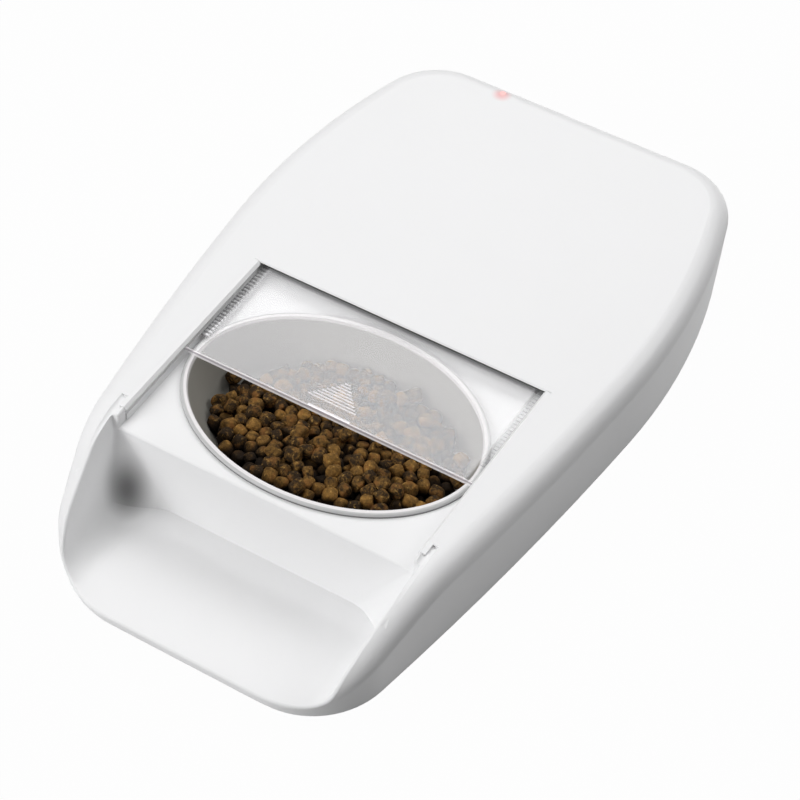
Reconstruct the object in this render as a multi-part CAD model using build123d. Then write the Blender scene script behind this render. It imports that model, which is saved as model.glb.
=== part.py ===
from build123d import *
from math import acos, cos, pi, radians, sin, tan
import os

os.makedirs("parts", exist_ok=True)

# Automatic microchip pet feeder, millimetres.
# Origin: bottom centre on the floor. +X is the feeder's right, -Y its eating side, +Z up.

# ---------------------------------------------------------------- driving dimensions
DECK_Z = 60.0            # flat top of the housing
SKIRT_Z = 1.5            # lower edge of the housing, above the floor
WALL = 2.5
EDGE_RADIUS = 9.5        # soft outer edge all round the top
INSIDE_CHAMFER = 4.5     # slanted inside corner under that edge
FIT = 0.2                # clearance between assembled mouldings

# Plan outline: straight front, then tangent arcs that turn to these headings, then a straight rear.
HEADINGS = (0, 79.7, 85.8, 107.6, 180)
DECK_OUTLINE = (18.8, -204.2, (70.4, 1650, 324.3, 36.8))      # half front, front y, arc radii
FLOOR_OUTLINE = (40.6, -169.2, (39.7, 1722, 291, 26.2))

# Side view: the rails fall from the deck to the front lip in two arcs and two slopes.
FALL_START_Y = -98.0
FALL_RADIUS_1, FALL_ANGLE_1 = 55.0, 30
FALL_BREAK_Y = -145.0
FALL_RADIUS_2, FALL_ANGLE_2 = 50.0, 43

PLATFORM_Z = 52.0        # shelf that carries the bowl
PLATFORM_THICK = 2.5
RECESS_FRONT_Y, SLOT_Y = -107.3, 6.0
RECESS_HALF = 80.0
MOUTH_HALF = 77.0        # the recess narrows in front of the guides
GUIDE_END_Y = -101.8
MOUTH_RADIUS = 1.2       # rounded edge all round the tray and along the shelf
FLUTE_X, FLUTE_RADIUS = 80.6, 3.0     # shallow groove beside the end of each guide
FLUTE_REAR_Y, FLUTE_AXIS_Y = -95.2, -100.4
FLUTE_PATH_RADIUS = 56.8
TRAY_Z = 13.8            # floor of the open eating tray
TRAY_BACK_Y = -110.7
TRAY_HALF = 68.0
TRAY_SIDE_LEAN = 15.7
TRAY_COVE = 13.0
TRAY_CORNER_LOW, TRAY_CORNER_HIGH = 20.0, 1.0
TRAY_CORNER_TOP_Z = 56.0

BOWL_Y = -49.3
BOWL_RIM_A, BOWL_RIM_B = 75.4, 54.2
BOWL_RIM_TOP_Z = 54.0
BOWL_FLANGE = 3.0
BOWL_WALL = 1.8
BOWL_FLOOR_Z = 24.4
BOWL_TAPER = 12.0        # how much narrower each half axis is at the bottom
BOWL_CORNER = 8.0
BOWL_RIM_RADIUS = 1.2
BOWL_HEEL_HEIGHT, BOWL_HEEL_INSET = 3.5, 2.5
BOWL_SIT = 0.8           # how far the bowl wall stands in from the flange opening
WELL_GAP = 0.6
WELL_FLOOR_Z = 23.0
WELL_WALL = 2.2
KIBBLE_TOP_Z = 45.05     # top of the food at the middle of its crest line
KIBBLE_CREST_X = 13.0
KIBBLE_TILT = 6.9        # the food is banked up towards the pet
KIBBLE_CROWN = 312.0     # radius across the heap
KIBBLE_GAP = 0.2

LID_TOP_Z, LID_THICK = 57.9, 1.8
LID_HALF = 78.4
LID_FRONT_Y, LID_LENGTH = -56.0, 132.0
LID_TRAVEL = {"closed": -45.5, "open": 57.0}     # closed, it stops at the ends of the guides
CHANNEL_TOP_Z = 58.5     # underside of the deck over the lid
CHANNEL_REAR_Y = 146.0
STRIP_INNER, STRIP_OUTER = 76.4, 79.98
STRIP_SLANT = 1.3        # slanted inner edge down to the lid
SLOT_EDGE_RADIUS = 1.0   # rounded edge of the deck over the slot
STRIP_REAR_Y = 136.0
GROOVE_HALF = 78.8
GROOVE_LOW_Z, GROOVE_HIGH_Z = 56.0, 58.0

MODULE = 0.7
PRESSURE = radians(20)
PINION_TEETH, IDLER_TEETH = 12, 24
RACK_ADDENDUM = 0.49
IDLER_ADDENDUM = 0.55
RACK_BACK = 0.35         # strip that joins the teeth of a rack
BACKLASH = 0.12
RACK_INNER, RACK_WIDTH = 72.5, 3.5
SHAFT_Y, SHAFT_R = 20.0, 1.5
BUSH_R = 3.0
RUNNING_GAP = 0.05
GEAR_X, GEAR_WIDTH = 86.0, 3.5

PANEL_TOP_Z = 50.0
OVERHANG_Z = 46.0        # lower edge of the deck skirt round the rear
OVERHANG_Y = 151.0

BASE_TOP_Z = 4.0
CELL_R, CELL_LENGTH = 13.1, 50.0      # C size
CELL_Z = 16.65
BAY_Y, BAY_HALF_X, BAY_HALF_Y, BAY_TOP_Z = 100.0, 53.0, 28.0, 31.2
DOOR_HINGE_Y, DOOR_HINGE_Z = 70.3, 2.75

BUTTON_XS = {"learn": 25.0, "power": 45.0}
BUTTON_Z = 30.0
LED_X, LED_Y, LED_R = -39.7, 167.1, 1.5

BOARD_Z, BOARD_THICK = 37.0, 1.6
BOARD_HALF_X, BOARD_Y0, BOARD_Y1 = 45.0, 76.0, 124.0
SWITCH_Z, SWITCH_HEIGHT = 44.6, 5.6
BUTTON_BOARD_Y = 160.0
BUTTON_INNER_Y = 168.0
PLUNGER_TIP_Y, PLUNGER_R = 166.1, 1.5
SCREW_PLACES = ((45, -153), (80.5, -60), (91, 62), (75, 152))
FEET_PLACES = ((52, -135), (60, 160))
FOOT_R = 6.9
RIB_INNER, RIB_OUTER = 81.0, 84.0      # bearing ribs beside the lid channel
GEARBOX_HALF_Y, GEARBOX_HALF_Z = 6.0, 5.0
COIL_LOW_Z, COIL_HIGH_Z = 36.0, 44.0

LID_BOTTOM_Z = LID_TOP_Z - LID_THICK
LID_REAR_Y = LID_FRONT_Y + LID_LENGTH
SWITCH_YS = {end: LID_REAR_Y - 2 + travel for end, travel in LID_TRAVEL.items()}     # under the lid's tab
PINION_R = MODULE * PINION_TEETH / 2
IDLER_R = MODULE * IDLER_TEETH / 2
RACK_PITCH_Z = LID_BOTTOM_Z - RACK_BACK - 1.22 * MODULE
SHAFT_Z = RACK_PITCH_Z - PINION_R
IDLER_Z = SHAFT_Z - PINION_R - IDLER_R
MOTOR_Y = SHAFT_Y + PINION_R + IDLER_R


# ---------------------------------------------------------------- helpers
def save(node, shape):
    """Write one node, its solids kept apart."""
    solids = shape.solids()
    body = solids[0] if len(solids) == 1 else Compound(children=list(solids))
    body.label = node
    export_step(body, "parts/" + node + ".step")


def span_box(x0, x1, y0, y1, z0, z1):
    """Box between two corners."""
    return Pos((x0 + x1) / 2, (y0 + y1) / 2, (z0 + z1) / 2) * Box(x1 - x0, y1 - y0, z1 - z0)


def rod_x(x0, x1, y, z, radius):
    """Round bar along X."""
    return Pos((x0 + x1) / 2, y, z) * Rot(0, 90, 0) * Cylinder(radius, x1 - x0)


def rod_y(x, y0, y1, z, radius):
    """Round bar along Y."""
    return Pos(x, (y0 + y1) / 2, z) * Rot(90, 0, 0) * Cylinder(radius, y1 - y0)


def rod_z(x, y, z0, z1, radius):
    """Round bar along Z."""
    return Pos(x, y, (z0 + z1) / 2) * Cylinder(radius, z1 - z0)


def both_sides(shape):
    """The shape and its mirror image across the middle plane."""
    return shape + mirror(shape, about=Plane.YZ)


def oval(a, b, z):
    """Bowl-centred ellipse at a height."""
    return Pos(0, BOWL_Y, z) * Ellipse(a, b)


def oval_cone(a0, b0, z0, a1, b1, z1):
    """Solid between two bowl-centred ellipses."""
    return loft([oval(a0, b0, z0), oval(a1, b1, z1)], ruled=True)


# ---------------------------------------------------------------- housing form
def outline(shape, z, inset):
    """Plan outline at a height, drawn in by the inset."""
    half, front_y, radii = shape
    x, y = half, front_y + inset
    arcs = []
    for start, end, full_radius in zip(HEADINGS, HEADINGS[1:], radii):
        r = full_radius - inset
        cx, cy = x - r * sin(radians(start)), y + r * cos(radians(start))
        turns = (start, (start + end) / 2, end)
        arc = [(cx + r * sin(radians(h)), cy - r * cos(radians(h))) for h in turns]
        arcs.append(arc)
        x, y = arc[-1]
    edges = [Line((-half, front_y + inset), (half, front_y + inset))]
    edges += [ThreePointArc(*arc) for arc in arcs]
    edges += [Line((x, y), (-x, y))]
    for arc in reversed(arcs):
        edges.append(ThreePointArc(*[(-px, py) for px, py in reversed(arc)]))
    return Pos(0, 0, z) * make_face(edges)


def wall_block(inset=0.0):
    """Leaning walls, from the floor outline to the deck outline."""
    return loft([outline(FLOOR_OUTLINE, SKIRT_Z, inset), outline(DECK_OUTLINE, DECK_Z, inset)], ruled=True)


def fall_profile(inset=0.0):
    """Everything under the deck and under the falling rails, as a prism across the feeder."""
    def shifted(y, z, slope):
        return (y + inset * sin(radians(slope)), z - inset * cos(radians(slope)))

    def first_arc(slope):
        return (FALL_START_Y - FALL_RADIUS_1 * sin(radians(slope)),
                DECK_Z - FALL_RADIUS_1 * (1 - cos(radians(slope))))

    arc_end = first_arc(FALL_ANGLE_1)
    break_z = arc_end[1] - (arc_end[0] - FALL_BREAK_Y) * tan(radians(FALL_ANGLE_1))

    def second_arc(slope):
        turn = sin(radians(slope)) - sin(radians(FALL_ANGLE_1))
        drop = cos(radians(FALL_ANGLE_1)) - cos(radians(slope))
        return (FALL_BREAK_Y - FALL_RADIUS_2 * turn, break_z - FALL_RADIUS_2 * drop)

    steep = second_arc(FALL_ANGLE_2)
    reach = 50.0
    foot = (steep[0] - reach, steep[1] - reach * tan(radians(FALL_ANGLE_2)))
    rear = shifted(190, DECK_Z, 0)
    deck_end = shifted(FALL_START_Y, DECK_Z, 0)
    arc_1 = [shifted(*first_arc(a), a) for a in (0, FALL_ANGLE_1 / 2, FALL_ANGLE_1)]
    middle = (FALL_ANGLE_1 + FALL_ANGLE_2) / 2
    arc_2 = [shifted(*second_arc(a), a) for a in (FALL_ANGLE_1, middle, FALL_ANGLE_2)]
    foot = shifted(*foot, FALL_ANGLE_2)
    low = -40
    side = [
        Line(rear, deck_end),
        ThreePointArc(*arc_1),
        Line(arc_1[-1], arc_2[0]),
        ThreePointArc(*arc_2),
        Line(arc_2[-1], foot),
        Line(foot, (foot[0], low)),
        Line((foot[0], low), (rear[0], low)),
        Line((rear[0], low), rear),
    ]
    return extrude(Plane.YZ * make_face(side), amount=130, both=True)


def top_edges(solid):
    """Edges where a wall meets the deck or the falling rails."""
    found = ShapeList()
    for edge in solid.edges():
        middle = edge @ 0.5
        if middle.Z < TRAY_Z:
            continue
        faces = [f for f in solid.faces() if any(edge.is_same(e) for e in f.edges())]
        tilts = sorted(abs(f.normal_at(middle).Z) for f in faces)
        if len(tilts) == 2 and tilts[0] < 0.45 and tilts[1] > 0.6:
            found.append(edge)
    return found


def soft_block():
    """Closed outer form with its soft top edge."""
    block = wall_block() & fall_profile()
    return fillet(top_edges(block), EDGE_RADIUS)


def inside_block():
    """The outer form drawn in by the wall, with its top edge cut at a slant."""
    block = wall_block(WALL) & fall_profile(WALL)
    return chamfer(top_edges(block), INSIDE_CHAMFER)


def tray_space(grow=0.0):
    """Open eating tray: coved sides that lean out, and back corners that tighten towards the top."""
    lean = tan(radians(TRAY_SIDE_LEAN))
    back_lean = (RECESS_FRONT_Y - TRAY_BACK_Y) / (PLATFORM_Z - TRAY_Z)
    floor_z, top_z = TRAY_Z - grow, 75.0
    front_y = -230

    def half_at(z):
        return TRAY_HALF + (z - TRAY_Z) * lean + grow / cos(radians(TRAY_SIDE_LEAN))

    def plan(z, corner):
        half, back = half_at(z), TRAY_BACK_Y + (z - TRAY_Z) * back_lean + grow
        sketch = Polygon((-half, front_y), (half, front_y), (half, back), (-half, back), align=None)
        return Pos(0, 0, z) * fillet(sketch.vertices().sort_by(Axis.Y)[-2:], corner + grow)

    walls = loft([plan(floor_z, TRAY_CORNER_LOW), plan(TRAY_CORNER_TOP_Z, TRAY_CORNER_HIGH),
                  plan(top_z, TRAY_CORNER_HIGH)], ruled=True)
    low, high = half_at(floor_z), half_at(top_z)
    section = Polygon((-low, floor_z), (low, floor_z), (high, top_z), (-high, top_z), align=None)
    section = fillet(section.vertices().sort_by(Axis.Y)[:2], TRAY_COVE + grow)
    return walls & extrude(Plane.XZ * section, amount=-front_y)


def wall_half_axes():
    """Half axes of the bowl wall's outside at the rim."""
    inner_a, inner_b = BOWL_RIM_A - BOWL_FLANGE, BOWL_RIM_B - BOWL_FLANGE
    return inner_a + BOWL_WALL - BOWL_SIT, inner_b + BOWL_WALL - BOWL_SIT


def bowl_well(grow=0.0):
    """Tapered oval pocket under the platform."""
    a, b = (half + WELL_GAP + grow for half in wall_half_axes())
    low = WELL_FLOOR_Z - grow
    return oval_cone(a - BOWL_TAPER, b - BOWL_TAPER, low, a, b, PLATFORM_Z + 0.01)


def recess(grow=0.0):
    """Sunken shelf in front of the slot, a little narrower in front of the lid guides."""
    low, high = PLATFORM_Z - grow, DECK_Z + 15
    half, mouth = RECESS_HALF + grow, MOUTH_HALF + grow
    wide = span_box(-half, half, GUIDE_END_Y - grow, SLOT_Y + grow, low, high)
    return wide + span_box(-mouth, mouth, RECESS_FRONT_Y - 6, SLOT_Y, low, high)


def mouth_edges(solid):
    """Sharp outward edges round the tray and along the front of the shelf."""
    found = ShapeList()
    for edge in solid.edges():
        middle = edge @ 0.5
        if middle.Y > GUIDE_END_Y - 0.1 or middle.Z < TRAY_Z - 0.1:
            continue
        faces = [f for f in solid.faces() if any(edge.is_same(e) for e in f.edges())]
        if len(faces) != 2:
            continue
        first, second = (f.normal_at(middle) for f in faces)
        outward = not solid.is_inside(middle + (first - second) * 0.15)
        if first.get_angle(second) > 30 and outward:
            found.append(edge)
    return found


def slot_edge(solid):
    """Edge of the deck over the slot that the lid slides into."""
    return solid.edges().filter_by_position(Axis.Y, SLOT_Y - 0.01, SLOT_Y + 0.01).sort_by(Axis.Z)[-1]


def flute():
    """Shallow groove beside the end of a guide, running out along the falling rail."""
    ring = Pos(FLUTE_X, FLUTE_AXIS_Y, DECK_Z - FALL_RADIUS_1) * Rot(0, 90, 0) * Torus(FLUTE_PATH_RADIUS, FLUTE_RADIUS)
    reach = 40
    window = span_box(MOUTH_HALF + 0.8, FLUTE_X + FLUTE_RADIUS, FLUTE_REAR_Y - reach, FLUTE_REAR_Y,
                      PLATFORM_Z - reach, DECK_Z + reach)
    return ring & window


def upper_housing():
    """Deck, walls, rails, platform, riser and tray in one thin-walled moulding."""
    hollow = inside_block() - tray_space(WALL) - recess(WALL) - bowl_well(WELL_WALL)
    hollow = hollow.solids().sort_by(SortBy.VOLUME)[-1]
    opened = soft_block() - tray_space() - recess()
    opened = fillet(mouth_edges(opened), MOUTH_RADIUS) - both_sides(flute())
    opened = fillet(slot_edge(opened), SLOT_EDGE_RADIUS)
    shell = opened - hollow - bowl_well()
    shell = shell - span_box(-RECESS_HALF, RECESS_HALF, SLOT_Y - 1, CHANNEL_REAR_Y, PLATFORM_Z, CHANNEL_TOP_Z)
    # the side walls stop short round the rear, where the rear panel stands in under the deck skirt
    skirt = (wall_block() - wall_block(WALL + 0.05)) & span_box(-130, 130, OVERHANG_Y, 190, -5, OVERHANG_Z)
    shell = shell - skirt
    # bosses for the base screws reach down from whatever is above them
    for x, y in SCREW_PLACES:
        boss = both_sides(rod_z(x, y, BASE_TOP_Z, DECK_Z - 1, 3.8)) & hollow
        shell = shell + boss - both_sides(rod_z(x, y, BASE_TOP_Z - 1, BASE_TOP_Z + 6, 1.35))
    # bearing ribs hang from the deck beside the lid channel
    rib = span_box(RIB_INNER, RIB_OUTER, SHAFT_Y - 6, SHAFT_Y + 6, IDLER_Z - 5, DECK_Z - 2)
    left_rib = span_box(-RIB_OUTER, -RIB_INNER, SHAFT_Y - 6, SHAFT_Y + 6, SHAFT_Z - 6, DECK_Z - 2)
    shell = shell + rib + left_rib
    shell = shell - rod_x(-90, 90, SHAFT_Y, SHAFT_Z, BUSH_R) - rod_x(80, 90, SHAFT_Y, IDLER_Z, SHAFT_R)
    return shell - rod_z(LED_X, LED_Y, PLATFORM_Z, DECK_Z + 1, LED_R)


# ---------------------------------------------------------------- lid and its guides
def guide_rail():
    """Right-hand strip: a deep groove beside the bowl, an open channel under the deck."""
    front_y = GUIDE_END_Y + FIT
    front = span_box(STRIP_INNER, STRIP_OUTER, front_y, SLOT_Y, PLATFORM_Z, DECK_Z)
    front = chamfer(front.edges().filter_by(Axis.Y).group_by(Axis.Z)[-1].sort_by(Axis.X)[0], STRIP_SLANT)
    rear = span_box(STRIP_INNER, STRIP_OUTER, SLOT_Y, STRIP_REAR_Y, GROOVE_LOW_Z - 2, CHANNEL_TOP_Z)
    groove = span_box(STRIP_INNER - 1, GROOVE_HALF, front_y - 1, SLOT_Y, GROOVE_LOW_Z, GROOVE_HIGH_Z)
    channel = span_box(STRIP_INNER - 1, GROOVE_HALF, SLOT_Y, STRIP_REAR_Y + 1, GROOVE_LOW_Z, DECK_Z)
    return front + rear - groove - channel


def lid():
    """Clear plate with a stiff front lip, a grip of raised bars and a tab for the end switches."""
    plate = span_box(-LID_HALF, LID_HALF, LID_FRONT_Y, LID_REAR_Y, LID_BOTTOM_Z, LID_TOP_Z)
    lip = span_box(-75.9, 75.9, LID_FRONT_Y, LID_FRONT_Y + 1.6, LID_BOTTOM_Z - 0.9, LID_BOTTOM_Z)
    body = plate + lip
    body += span_box(-10, 12, LID_FRONT_Y, LID_FRONT_Y + 1.4, LID_TOP_Z, LID_TOP_Z + 0.3)
    bars, pitch = 9, 1.65
    for i in range(bars):
        half = 12.6 * (1 - i / bars)
        y = LID_FRONT_Y + 6.0 + i * pitch
        body += span_box(-0.9 - half, -0.9 + half, y, y + 0.7, LID_TOP_Z, LID_TOP_Z + 0.3)
    body += span_box(-64, -60, LID_REAR_Y - 3, LID_REAR_Y - 1, PLATFORM_Z, LID_BOTTOM_Z)
    return body


def rack(side):
    """Straight rack, teeth down, under one edge of the lid."""
    pitch = pi * MODULE
    slope = tan(PRESSURE)
    start_y, end_y = LID_FRONT_Y + 12.0, LID_REAR_Y - 1.0
    root_z = LID_BOTTOM_Z - RACK_BACK
    tip_z = RACK_PITCH_Z - RACK_ADDENDUM
    half_pitch_width = pitch / 4 - BACKLASH / 4
    half_root = half_pitch_width + (root_z - RACK_PITCH_Z) * slope
    half_tip = half_pitch_width - (RACK_PITCH_Z - tip_z) * slope
    # a tooth space of the rack is centred over the shaft
    first = SHAFT_Y + pitch / 2
    centres = [first + k * pitch for k in range(-40, 60)]
    centres = [c for c in centres if start_y + half_root < c < end_y - half_root]
    points = [(start_y, LID_BOTTOM_Z), (start_y, root_z)]
    for c in centres:
        points += [(c - half_root, root_z), (c - half_tip, tip_z), (c + half_tip, tip_z), (c + half_root, root_z)]
    points += [(end_y, root_z), (end_y, LID_BOTTOM_Z)]
    strip = extrude(Plane.YZ * Polygon(*points, align=None), amount=RACK_WIDTH)
    return Pos(RACK_INNER if side > 0 else -RACK_INNER - RACK_WIDTH, 0, 0) * strip


# ---------------------------------------------------------------- gears
def involute(angle):
    return tan(angle) - angle


def spur_gear(teeth, addendum, bore, x0, x1, y, z, turn):
    """Involute gear on an X axis; turn is the angle of one tooth centre from +Y towards +Z."""
    pitch_r = MODULE * teeth / 2
    base_r = pitch_r * cos(PRESSURE)
    tip_r = pitch_r + addendum
    root_r = pitch_r - 1.25 * MODULE
    half_at_pitch = pi / (2 * teeth) - BACKLASH / (4 * pitch_r)

    def half_angle(r):
        return half_at_pitch + involute(PRESSURE) - involute(acos(min(1.0, base_r / r)))

    def at(r, angle):
        return (r * cos(angle), r * sin(angle))

    flank_r = max(base_r, root_r)
    radii = (flank_r, (flank_r + tip_r) / 2, tip_r)
    edges = []
    step = 2 * pi / teeth
    for k in range(teeth):
        centre = turn + k * step
        left = [at(r, centre - half_angle(r)) for r in radii]
        right = [at(r, centre + half_angle(r)) for r in reversed(radii)]
        foot_in = at(root_r, centre - half_angle(flank_r))
        foot_out = at(root_r, centre + half_angle(flank_r))
        if root_r < flank_r:
            edges.append(Line(foot_in, left[0]))
        edges += [ThreePointArc(*left), Line(left[-1], right[0]), ThreePointArc(*right)]
        if root_r < flank_r:
            edges.append(Line(right[-1], foot_out))
        next_in = at(root_r, centre + step - half_angle(flank_r))
        edges.append(Line(foot_out, next_in))
    disc = extrude(Plane.YZ * make_face(edges), amount=x1 - x0)
    return Pos(x0, y, z) * disc - rod_x(x0 - 1, x1 + 1, y, z, bore)


# ---------------------------------------------------------------- bowl
def bowl_inside(grow=0.0):
    """Room inside the bowl, with its soft bottom corner."""
    a, b = BOWL_RIM_A - BOWL_FLANGE + grow, BOWL_RIM_B - BOWL_FLANGE + grow
    room = oval_cone(a - BOWL_TAPER, b - BOWL_TAPER, BOWL_FLOOR_Z + BOWL_WALL - grow, a, b, BOWL_RIM_TOP_Z + 0.01)
    return fillet(room.edges().sort_by(Axis.Z)[0], BOWL_CORNER)


def bowl():
    """Oval food bowl: rolled rim flange, tapered wall, slanted bottom corner outside."""
    a, b = wall_half_axes()
    share = BOWL_HEEL_HEIGHT / (BOWL_RIM_TOP_Z - BOWL_FLOOR_Z)
    foot, heel = BOWL_TAPER + BOWL_HEEL_INSET, BOWL_TAPER * (1 - share)
    sections = [
        oval(a - foot, b - foot, BOWL_FLOOR_Z),
        oval(a - heel, b - heel, BOWL_FLOOR_Z + BOWL_HEEL_HEIGHT),
        oval(a, b, BOWL_RIM_TOP_Z),
    ]
    flange = extrude(oval(BOWL_RIM_A, BOWL_RIM_B, PLATFORM_Z), BOWL_RIM_TOP_Z - PLATFORM_Z)
    flange = fillet(flange.edges().sort_by(Axis.Z)[-1], BOWL_RIM_RADIUS)
    return loft(sections, ruled=True) + flange - bowl_inside()


def kibble():
    """The food as one heap, banked up towards the pet and crowned across the bowl."""
    crown = Rot(-KIBBLE_TILT, 0, 0) * Rot(90, 0, 0) * Cylinder(KIBBLE_CROWN, 4 * BOWL_RIM_B)
    crown = Pos(KIBBLE_CREST_X, BOWL_Y, KIBBLE_TOP_Z - KIBBLE_CROWN / cos(radians(KIBBLE_TILT))) * crown
    return bowl_inside(-KIBBLE_GAP) & crown


# ---------------------------------------------------------------- base and rear
def base_plate():
    """Floor of the housing with the battery box, board pillars and switch posts moulded on."""
    plate = extrude(outline(FLOOR_OUTLINE, SKIRT_Z, WALL + FIT), BASE_TOP_Z - SKIRT_Z)
    box_wall = 2.0
    box = span_box(-BAY_HALF_X - box_wall, BAY_HALF_X + box_wall, BAY_Y - BAY_HALF_Y - box_wall,
                   BAY_Y + BAY_HALF_Y + box_wall, SKIRT_Z, BAY_TOP_Z + box_wall)
    plate = plate + box
    plate -= span_box(-BAY_HALF_X, BAY_HALF_X, BAY_Y - BAY_HALF_Y, BAY_Y + BAY_HALF_Y, 0, BAY_TOP_Z)
    plate -= span_box(-BAY_HALF_X, BAY_HALF_X, BAY_Y - BAY_HALF_Y - 0.8, BAY_Y, 0, BASE_TOP_Z + 0.2)
    for x in (-30, 30):
        plate -= span_box(x - 6, x + 6, DOOR_HINGE_Y - 1.6, BAY_Y - BAY_HALF_Y + 1, 0, BASE_TOP_Z + 0.3)
    plate -= span_box(-8, 8, BAY_Y + BAY_HALF_Y - 1, BAY_Y + BAY_HALF_Y + 3, 0, BASE_TOP_Z)
    for x in (-40, 40):
        for y in (82, 118):
            plate += rod_z(x, y, BAY_TOP_Z + 1, BOARD_Z, 3.0)
    for y in SWITCH_YS.values():
        plate += span_box(-67, -58.5, y - 3, y + 3, SKIRT_Z, SWITCH_Z)
    for x in (-52, 56):
        plate += span_box(x - 3, x + 3, BUTTON_BOARD_Y - 2, BUTTON_BOARD_Y + 3.6, SKIRT_Z, 22)
        plate -= span_box(x - 3.1, x + 3.1, BUTTON_BOARD_Y, BUTTON_BOARD_Y + 1.6, 15, 23)
    for x, y in FEET_PLACES:
        plate -= both_sides(rod_z(x, y, 0, SKIRT_Z + 0.6, 7.0))
    for x, y in SCREW_PLACES:
        plate -= both_sides(rod_z(x, y, 0, 10, 1.5) + rod_z(x, y, 0, SKIRT_Z + 1.6, 2.9))
    return plate


def battery_door():
    """Flat cover with two hinge knuckles and a finger tab."""
    gap = FIT
    front_y, rear_y = BAY_Y - BAY_HALF_Y + gap, BAY_Y + BAY_HALF_Y - gap
    door = span_box(-BAY_HALF_X + gap, BAY_HALF_X - gap, front_y, rear_y, SKIRT_Z, SKIRT_Z + 2)
    for x in (-30, 30):
        door += span_box(x - 5, x + 5, DOOR_HINGE_Y, front_y + 1, SKIRT_Z + 0.4, SKIRT_Z + 2)
        door += rod_x(x - 5, x + 5, DOOR_HINGE_Y, DOOR_HINGE_Z, 1.1)
    door += span_box(-7, 7, rear_y - 1, rear_y + 2.6, SKIRT_Z, SKIRT_Z + 2)
    return door


def rear_panel():
    """Curved panel set in under the deck skirt, with the two button holes."""
    ring = (wall_block(WALL + 0.1) - wall_block(2 * WALL))
    panel = ring & span_box(-130, 130, OVERHANG_Y - 5, 190, BASE_TOP_Z, PANEL_TOP_Z)
    for x in BUTTON_XS.values():
        panel -= rod_y(x, 160, 180, BUTTON_Z, 4.6)
    return panel


def button_cap(x):
    """Round push button with a flange behind the panel and a stem to its switch."""
    cap = rod_y(x, BUTTON_INNER_Y, BUTTON_INNER_Y + 4.0, BUTTON_Z, 4.4)
    cap += rod_y(x, BUTTON_INNER_Y - 1.2, BUTTON_INNER_Y, BUTTON_Z, 5.6)
    return cap + rod_y(x, PLUNGER_TIP_Y, BUTTON_INNER_Y - 1.2, BUTTON_Z, PLUNGER_R)


# ---------------------------------------------------------------- drive train
def drive_gears():
    """Pinions under the racks, then shaft gear, idler and motor gear in mesh."""
    up = pi / 2                  # a tooth points straight up into the rack
    wide = 3.0
    inset = (RACK_WIDTH - wide) / 2
    right_x, left_x = RACK_INNER + inset, -RACK_INNER - RACK_WIDTH + inset
    end_x = GEAR_X + GEAR_WIDTH
    idler_up = up + pi / IDLER_TEETH      # a tooth space points up at the gear above
    return {
        "right_pinion": spur_gear(PINION_TEETH, MODULE, SHAFT_R, right_x, right_x + wide, SHAFT_Y, SHAFT_Z, up),
        "left_pinion": spur_gear(PINION_TEETH, MODULE, SHAFT_R, left_x, left_x + wide, SHAFT_Y, SHAFT_Z, up),
        "shaft_gear": spur_gear(PINION_TEETH, MODULE, SHAFT_R, GEAR_X, end_x, SHAFT_Y, SHAFT_Z, up),
        "idler_gear": spur_gear(IDLER_TEETH, IDLER_ADDENDUM, SHAFT_R + RUNNING_GAP, GEAR_X, end_x,
                                SHAFT_Y, IDLER_Z, idler_up),
        "motor_gear": spur_gear(PINION_TEETH, MODULE, SHAFT_R, GEAR_X, end_x, MOTOR_Y, IDLER_Z, pi),
    }


def bush(side):
    """Flanged bush of the drive shaft in its rib."""
    inner, outer = sorted((RIB_INNER * side, RIB_OUTER * side))
    flange = 0.8
    flange_x = outer if side > 0 else inner - flange
    sleeve = rod_x(inner, outer, SHAFT_Y, SHAFT_Z, BUSH_R)
    sleeve += rod_x(flange_x, flange_x + flange, SHAFT_Y, SHAFT_Z, BUSH_R + 1)
    return sleeve - rod_x(-100, 100, SHAFT_Y, SHAFT_Z, SHAFT_R + RUNNING_GAP)


def motor_parts():
    """Small flat-sided gear motor, its output shaft and the saddle it lies in."""
    front, rear = MOTOR_Y - GEARBOX_HALF_Y, MOTOR_Y + GEARBOX_HALF_Y
    low, high = IDLER_Z - GEARBOX_HALF_Z, IDLER_Z + GEARBOX_HALF_Z
    can_x, box_x, output_x, face_x = 60.5, 75.5, 82.0, 84.5
    gearbox = span_box(box_x, face_x, front, rear, low, high)
    gearbox -= rod_x(output_x, face_x + 1, MOTOR_Y, IDLER_Z, SHAFT_R + RUNNING_GAP)
    can = rod_x(can_x, box_x, MOTOR_Y, IDLER_Z, GEARBOX_HALF_Y) & span_box(can_x, box_x, front, rear, low, high)
    can += rod_x(can_x - 2, can_x, MOTOR_Y, IDLER_Z, 2.5)
    wall = 2.0
    saddle = span_box(62, 80.5, front - wall, rear + wall, BASE_TOP_Z, IDLER_Z + wall)
    saddle -= span_box(50, 90, front, rear, low, high + 4)
    saddle -= span_box(50, 90, front, rear, BASE_TOP_Z + wall, low - wall)
    return {
        "gearbox": gearbox,
        "motor": can,
        "motor_shaft": rod_x(output_x + 0.1, GEAR_X + GEAR_WIDTH + 1, MOTOR_Y, IDLER_Z, SHAFT_R),
        "motor_bracket": saddle,
    }


# ---------------------------------------------------------------- chip reader coil
def well_outer(z, grow):
    """Ellipse a little outside the well wall at a height."""
    drop = (PLATFORM_Z - z) * BOWL_TAPER / (PLATFORM_Z - WELL_FLOOR_Z + WELL_WALL)
    a, b = (half + WELL_GAP + WELL_WALL + grow - drop for half in wall_half_axes())
    return a, b


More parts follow.
